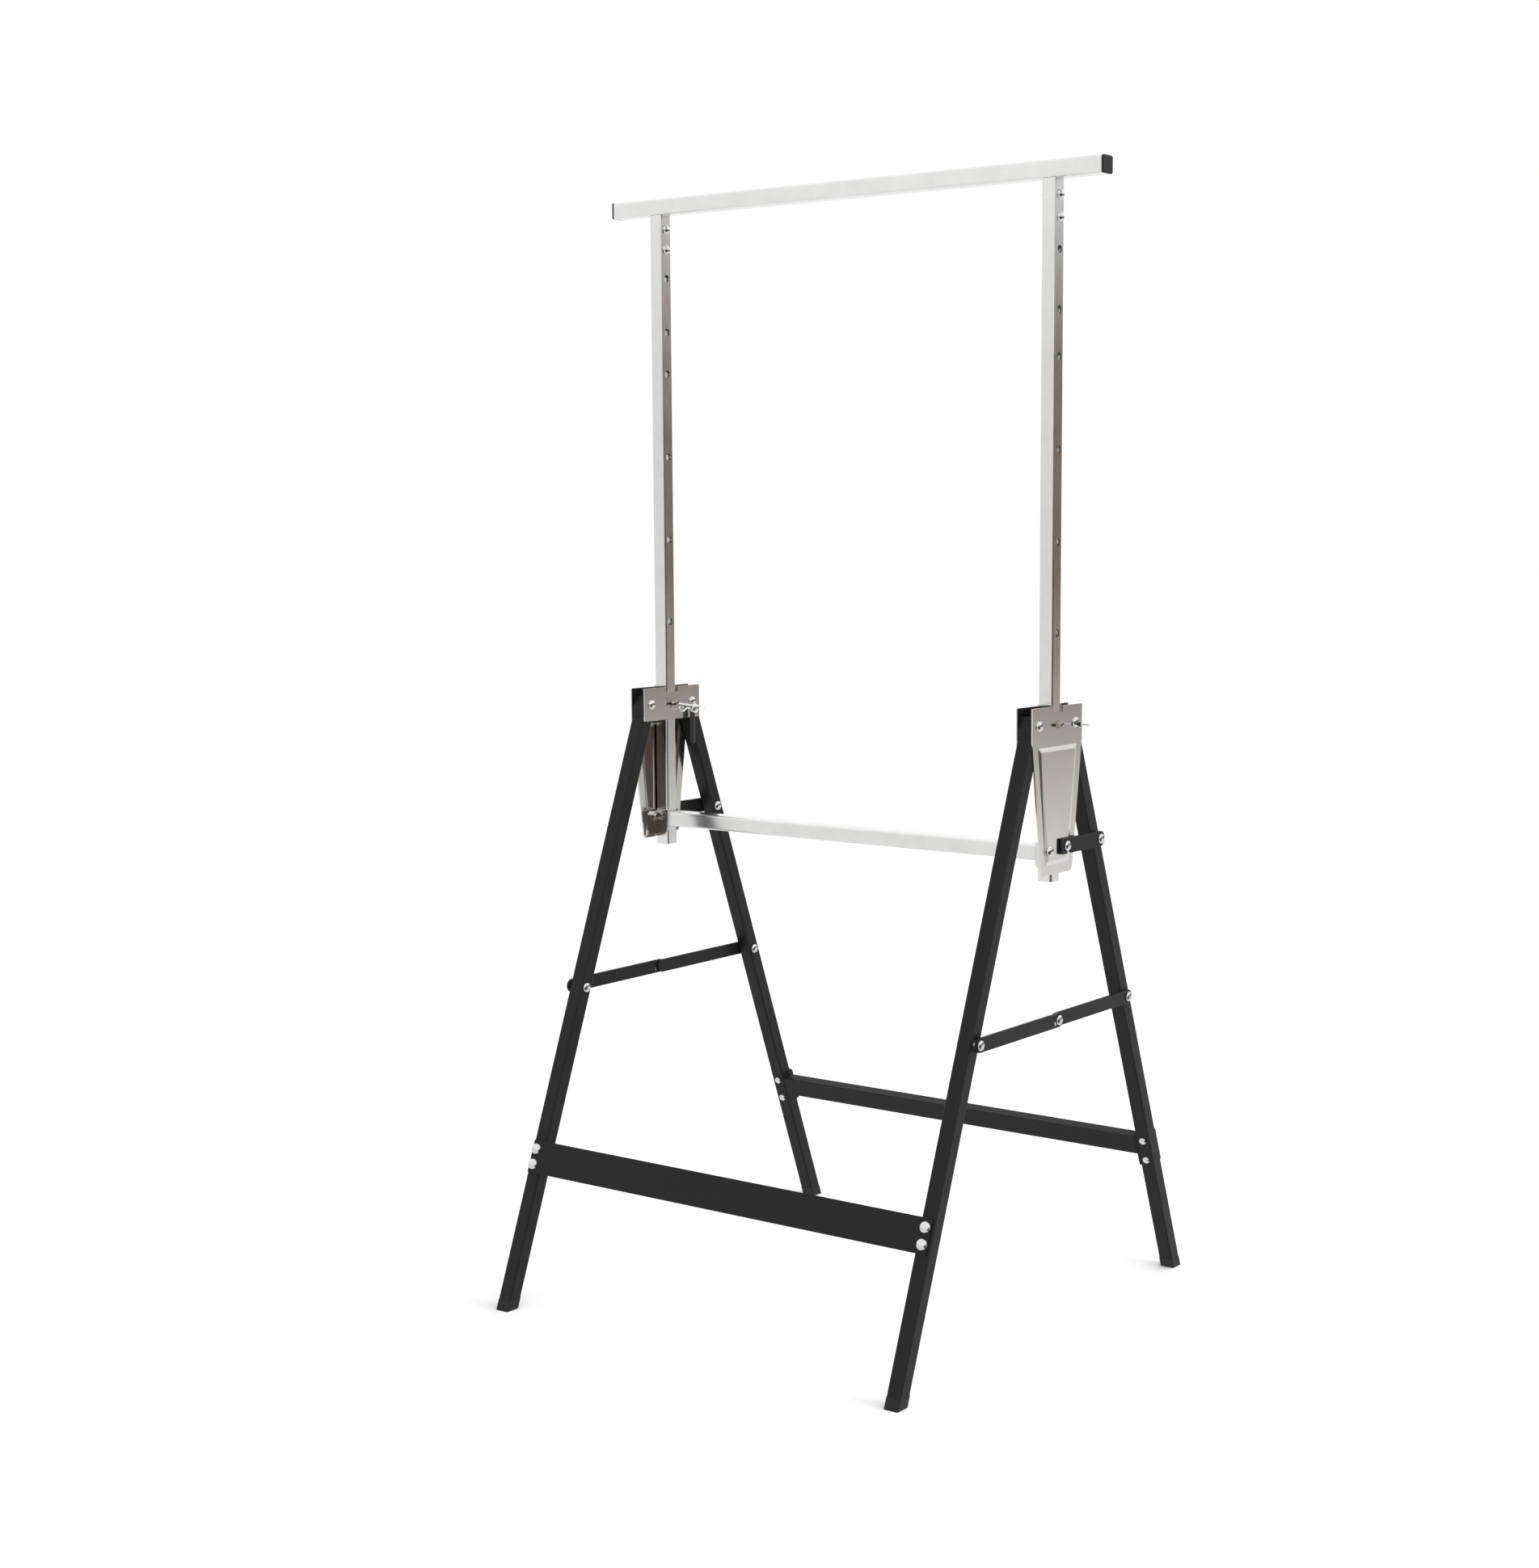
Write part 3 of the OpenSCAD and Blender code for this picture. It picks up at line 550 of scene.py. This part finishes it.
def dome_bolts(node, body, axis, head_r, head_h):
    """Bolts with a domed head at the end that axis points to, and a threaded end in the darker
    steel, whose colour is partly painted shade.
    """
    thread_l, plain_from, rim = 12, 13, 1.0
    heads, shanks = Piece("made_" + node), Piece("made_" + node + "_shanks")
    for points in solids(node):
        start, end = ends(points, axis)
        length = (end - start).length / MM
        seat = length - head_h
        shank = threaded(thread_l, SCREW_R) + [(plain_from, SCREW_R), (seat, SCREW_R), (seat, 0)]
        head = [(seat, 0)] + [(seat + a, r) for a, r in head_profile(head_r, head_h, rim)]
        shanks.lathe(start, axis, shank, steps=48)
        heads.lathe(start, axis, head, steps=48)
    shanks.make(DARK_STEEL_AND_PAINTED_SHADE, body, "zinc_hardware")
    heads.make(HARDWARE, body, "zinc_hardware", node)


dome_bolts("kick_plate_bolts", "front_leg_frame", FRONT_OUT, 6.4, 4.0)
dome_bolts("rail_bolts", "back_leg_frame", -BACK_OUT, 4.5, 3.2)
dome_bolts("mast_bolts", "mast_carriage", X_AXIS, 5.5, 4.0)


def nuts(node, body, axis, mirrored=False):
    """Nuts along axis; mirrored ones turn round on the right-hand side."""
    piece = Piece("made_" + node)
    for points in solids(node):
        direction = axis
        if mirrored and points[0].x > 0:
            direction = -axis
        start, end = ends(points, direction)
        piece.nut(start, direction, NUT_FLATS, (end - start).length / MM)
    piece.make(HARDWARE, body, "zinc_hardware", node, sharp=25)


nuts("kick_plate_nuts", "front_leg_frame", -FRONT_OUT)
nuts("rail_nuts", "back_leg_frame", BACK_OUT)
nuts("bracket_nuts", "head", X_AXIS, mirrored=True)


# ---------- lock pins, clips and tether ends ----------

def lock_pins(side):
    """A pin with a ring groove near its inner end. It is drawn in two lengths, as in the CAD,
    with nothing in between where the mast slides."""
    axis = X_AXIS if side == "right" else -X_AXIS
    lengths = [ends(points, axis) for points in solids("lock_pin_" + side)]
    lengths.sort(key=lambda pair: pair[0].dot(axis))
    (inner_start, inner_end), (outer_start, outer_end) = lengths
    full, groove = LOCK_PIN_R, 3.6
    piece = Piece("made_lock_pin_" + side)
    length = (inner_end - inner_start).length / MM
    nose = [(0, 0), (0, 2.6), (0.25, 3.1), (1.1, full)]
    ring = [(2.2, full), (2.5, groove), (3.1, groove), (3.4, full)]
    piece.lathe(inner_start, axis, nose + ring + [(length, full), (length, 0)])
    length = (outer_end - outer_start).length / MM
    tip = [(length - 1.6, full), (length - 0.5, 3.3), (length - 0.1, 2.7), (length, 0)]
    piece.lathe(outer_start, axis, [(0, 0), (0, full)] + tip)
    # The pin's darker steel is partly painted shade, standing in for its dark reflection
    piece.make(DARK_STEEL_AND_PAINTED_SHADE, "lock_pin_" + side, "zinc_hardware", "lock_pin_" + side)


def arc(centre, across, up, radius, start, stop, steps):
    """Points on an arc in the plane of two directions; radius in mm, angles in degrees."""
    made = []
    for i in range(steps + 1):
        turn = math.radians(start + (stop - start) * i / steps)
        made.append(centre + (across * math.cos(turn) + up * math.sin(turn)) * radius * MM)
    return made


def smooth_path(points, steps=6):
    """A Catmull-Rom curve through points."""
    path = []
    last = len(points) - 1
    for i in range(last):
        before, here = points[max(i - 1, 0)], points[i]
        there, after = points[i + 1], points[min(i + 2, last)]
        for k in range(steps):
            t = k / steps
            path.append(0.5 * (2 * here + (there - before) * t
                               + (2 * before - 5 * here + 4 * there - after) * t * t
                               + (3 * here - before - 3 * there + after) * t * t * t))
    return path + [points[-1]]


def clip(side):
    """A spring clip: a straight leg through the pin, a coil, a wavy leg that ends just short of
    the pin, and a thinner tail behind the coil."""
    low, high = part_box("r_clip_" + side)
    pin_low, pin_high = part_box("lock_pin_" + side)
    tilt = math.radians(-9)
    back = Vector((0, math.cos(tilt), math.sin(tilt)))
    up = Vector((0, -math.sin(tilt), math.cos(tilt)))
    wire, coil_r, coil_y, pitch = 1.1, 3.9, 35.0, 2.3
    coil_turns, coil_steps = 1.5, 72
    # The coil steps away from the head plate, so that its turns lie side by side
    step = X_AXIS * (pitch if side == "left" else -pitch) * MM
    origin = Vector(((low.x + high.x) / 2, 0, (pin_low.z + pin_high.z) / 2))

    def at(y, drop, turns=0.0):
        """A place so many mm back from the middle and down, and so many turns along the coil."""
        return origin + back * y * MM - up * drop * MM + step * turns

    coil = arc(at(coil_y, coil_r), back, up, coil_r, 90, 90 - 360 * coil_turns, coil_steps)
    coil = [point + step * coil_turns * i / coil_steps for i, point in enumerate(coil)]
    bends = ((coil_y, 2 * coil_r, coil_turns), (30, 7.2, 1.3), (25, 4.6, 1.0), (20, 4.4, 0.7),
             (16.5, 7.4, 0.4), (13.5, 8.6, 0.2), (10.5, 7.0, 0.0), (8, 4.9, 0.0), (4.5, 5.0, 0.0))
    lower = smooth_path([at(y, drop, turns) for y, drop, turns in bends])
    straight = smooth_path([at(y, 0) for y in (-5.5, 4, 16, 28, coil_y)])
    piece = Piece("made_r_clip_" + side)
    piece.wire(straight + coil[1:] + lower[1:], wire)
    tail = smooth_path([at(y, drop) for y, drop in ((36, -2.4), (42, -1.2), (49, 0.3), (57, 2.0))])
    piece.wire(tail, wire * 0.75)
    # The clip's brighter zinc is partly painted highlight
    piece.make(WIRE_WITH_PAINTED_HIGHLIGHT, "lock_pin_" + side, "zinc_hardware", "r_clip_" + side)


for side in SIDES:
    lock_pins(side)
    clip(side)


def tether_ends():
    """On each back hinge rivet, a black ferrule with a bare wire end standing out of it."""
    ferrule = [(0, 0), (0, 2.0), (0.2, 2.2), (2.2, 2.2), (2.8, 1.6), (2.8, 0)]
    wire_from, wire_r, tip_l, tip_r = 2.6, 0.9, 0.4, 0.5
    ferrule_reach = 2.1 * MM
    ferrules, wires = Piece("made_tether_ferrules"), Piece("made_tether_wires")
    for points in solids("tether_stops"):
        start, end = ends(points, X_AXIS)
        axis = X_AXIS
        if start.x < 0:
            start, end, axis = end, start, -X_AXIS
        length = (end - start).length / MM
        across = [p for p in points if abs((p - start).dot(axis)) < ferrule_reach]
        middle = sum((p.yz for p in across), Vector((0, 0))) / len(across)
        start = Vector((start.x, middle.x, middle.y))
        ferrules.lathe(start, axis, ferrule)
        wire = [(wire_from, 0), (wire_from, wire_r), (length - tip_l, wire_r), (length, tip_r)]
        wires.lathe(start, axis, wire + [(length, 0)], steps=16)
    wires.make(HARDWARE, "head", "zinc_hardware")
    ferrules.make(PLASTIC, "head", "black_plastic", "tether_stops")


tether_ends()


# ---------- camera, light and floor ----------

def aim(obj, target):
    """Turns a light so that it points at target."""
    direction = Vector(target) - obj.location
    obj.rotation_euler = direction.to_track_quat("-Z", "Y").to_euler()


def make_camera():
    """The photo's view, fitted to the CAD frame."""
    data = bpy.data.cameras.new("camera")
    data.lens = 55.49
    data.sensor_width = 36
    data.shift_x = -0.0712
    data.shift_y = 0.0096
    data.clip_start = 0.05
    data.clip_end = 60
    camera = bpy.data.objects.new("camera", data)
    camera.location = (1.6627, -2.2798, 0.9170)
    camera.rotation_euler = (math.radians(83.39), math.radians(0.06), math.radians(35.28))
    bpy.context.scene.collection.objects.link(camera)
    bpy.context.scene.camera = camera


def area_light(name, place, target, size, power):
    """A white rectangular light that reflections do not show, as they show the studio instead."""
    data = bpy.data.lights.new(name, "AREA")
    data.shape = "RECTANGLE"
    data.size, data.size_y = size
    data.energy = power
    light = bpy.data.objects.new(name, data)
    light.location = place
    bpy.context.scene.collection.objects.link(light)
    aim(light, target)
    light.visible_glossy = False


class Studio:
    """The world: what reflections, matt surfaces and the camera each see in every direction."""

    def __init__(self):
        world = bpy.data.worlds.new("studio")
        world.use_nodes = True
        bpy.context.scene.world = world
        self.tree = world.node_tree
        self.tree.nodes.clear()
        self.way = self.tree.nodes.new("ShaderNodeTexCoord").outputs["Generated"]

    def towards(self, direction):
        """1 looking that way, -1 looking the other way."""
        dot = self.tree.nodes.new("ShaderNodeVectorMath")
        dot.operation = "DOT_PRODUCT"
        dot.inputs[1].default_value = Vector(direction).normalized()
        self.tree.links.new(self.way, dot.inputs[0])
        return dot.outputs["Value"]

    def range(self, value, from_min, from_max, to_min, to_max, kind="SMOOTHSTEP"):
        """Maps a value from one range to another, within its ends."""
        made = self.tree.nodes.new("ShaderNodeMapRange")
        made.interpolation_type = kind
        self.tree.links.new(value, made.inputs["Value"])
        for name, number in zip(("From Min", "From Max", "To Min", "To Max"),
                                (from_min, from_max, to_min, to_max)):
            made.inputs[name].default_value = number
        return made.outputs["Result"]

    def light(self, colour, strength):
        """An even light, or one whose strength comes from another node."""
        made = self.tree.nodes.new("ShaderNodeBackground")
        made.inputs["Color"].default_value = (*colour, 1)
        if isinstance(strength, bpy.types.NodeSocket):
            self.tree.links.new(strength, made.inputs["Strength"])
        else:
            made.inputs["Strength"].default_value = strength
        return made.outputs[0]

    def mix(self, factor, a, b):
        """Light a where factor is 0 and light b where it is 1."""
        made = self.tree.nodes.new("ShaderNodeMixShader")
        self.tree.links.new(factor, made.inputs["Fac"])
        self.tree.links.new(a, made.inputs[1])
        self.tree.links.new(b, made.inputs[2])
        return made.outputs[0]


def make_world(front, backdrop, dim, dark, floor, sky, fill, lean_right):
    """Metal sees a softer front left, a white backdrop, a dim warm back right and a dark
    right-hand side, between a pale floor and a white ceiling. The light on matt surfaces grows
    from almost none at the front left to double at the back right. The camera sees white."""
    studio = Studio()
    # Each range runs between two cosines of the angle from its direction
    back_right = studio.towards((0.66, 0.75, 0))
    behind = studio.range(back_right, -0.9, 0.2, 0, 1)
    shaded = studio.range(back_right, 0.35, 0.9, 0, 1)
    below = studio.range(studio.towards((0, 0, -1)), 0.03, 0.17, 0, 1)
    right = studio.range(studio.towards((0.974, -0.225, 0)), 0.60, 0.74, 0, 1)
    above = studio.range(studio.towards((0, 0, 1)), 0.09, 0.15, 0, 1)
    white = (1, 1, 1)
    brown = (1.0, 0.80, 0.65)
    seen = studio.mix(behind, studio.light(white, front), studio.light(white, backdrop))
    seen = studio.mix(shaded, seen, studio.light(brown, dim))
    seen = studio.mix(below, seen, studio.light(white, floor))
    seen = studio.mix(right, seen, studio.light(brown, dark))
    seen = studio.mix(above, seen, studio.light(white, sky))
    sideways = studio.range(studio.towards((0.82, 0.57, 0)), -1, 1,
                            fill - lean_right, fill + lean_right, "LINEAR")
    path = studio.tree.nodes.new("ShaderNodeLightPath")
    seen = studio.mix(path.outputs["Is Diffuse Ray"], seen, studio.light(white, sideways))
    seen = studio.mix(path.outputs["Is Camera Ray"], seen, studio.light(white, 1.0))
    out = studio.tree.nodes.new("ShaderNodeOutputWorld")
    studio.tree.links.new(seen, out.inputs["Surface"])


def make_floor():
    """A wide pale disc. Reflections are left to the studio, which has a floor of its own."""
    reach = 40
    disc = bmesh.new()
    bmesh.ops.create_circle(disc, cap_ends=True, segments=96, radius=reach)
    data = bpy.data.meshes.new("floor")
    disc.to_mesh(data)
    disc.free()
    floor = bpy.data.objects.new("floor", data)
    bpy.context.scene.collection.objects.link(floor)
    look = Look("pale_floor", (0.96, 0.96, 0.96), 0.0, 1.0, Specular_IOR_Level=0.0)
    look.tint(look.spread(look.grain(2.0, 2.0), 0.0, 0.3), (0.95, 0.95, 0.95))
    data.materials.append(look.material)
    floor.visible_glossy = False


make_camera()
make_world(front=0.82, backdrop=1.08, dim=0.16, dark=0.07, floor=0.95, sky=1.1, fill=1.05,
           lean_right=1.0)
make_floor()
area_light("top", (0.3, -0.3, 3.6), (0, 0, 0), (3.0, 3.0), 10)
area_light("side", (3.4, 0.4, 1.0), (0, 0, 0.6), (1.4, 1.8), 55)
bpy.context.scene.view_settings.view_transform = "Standard"
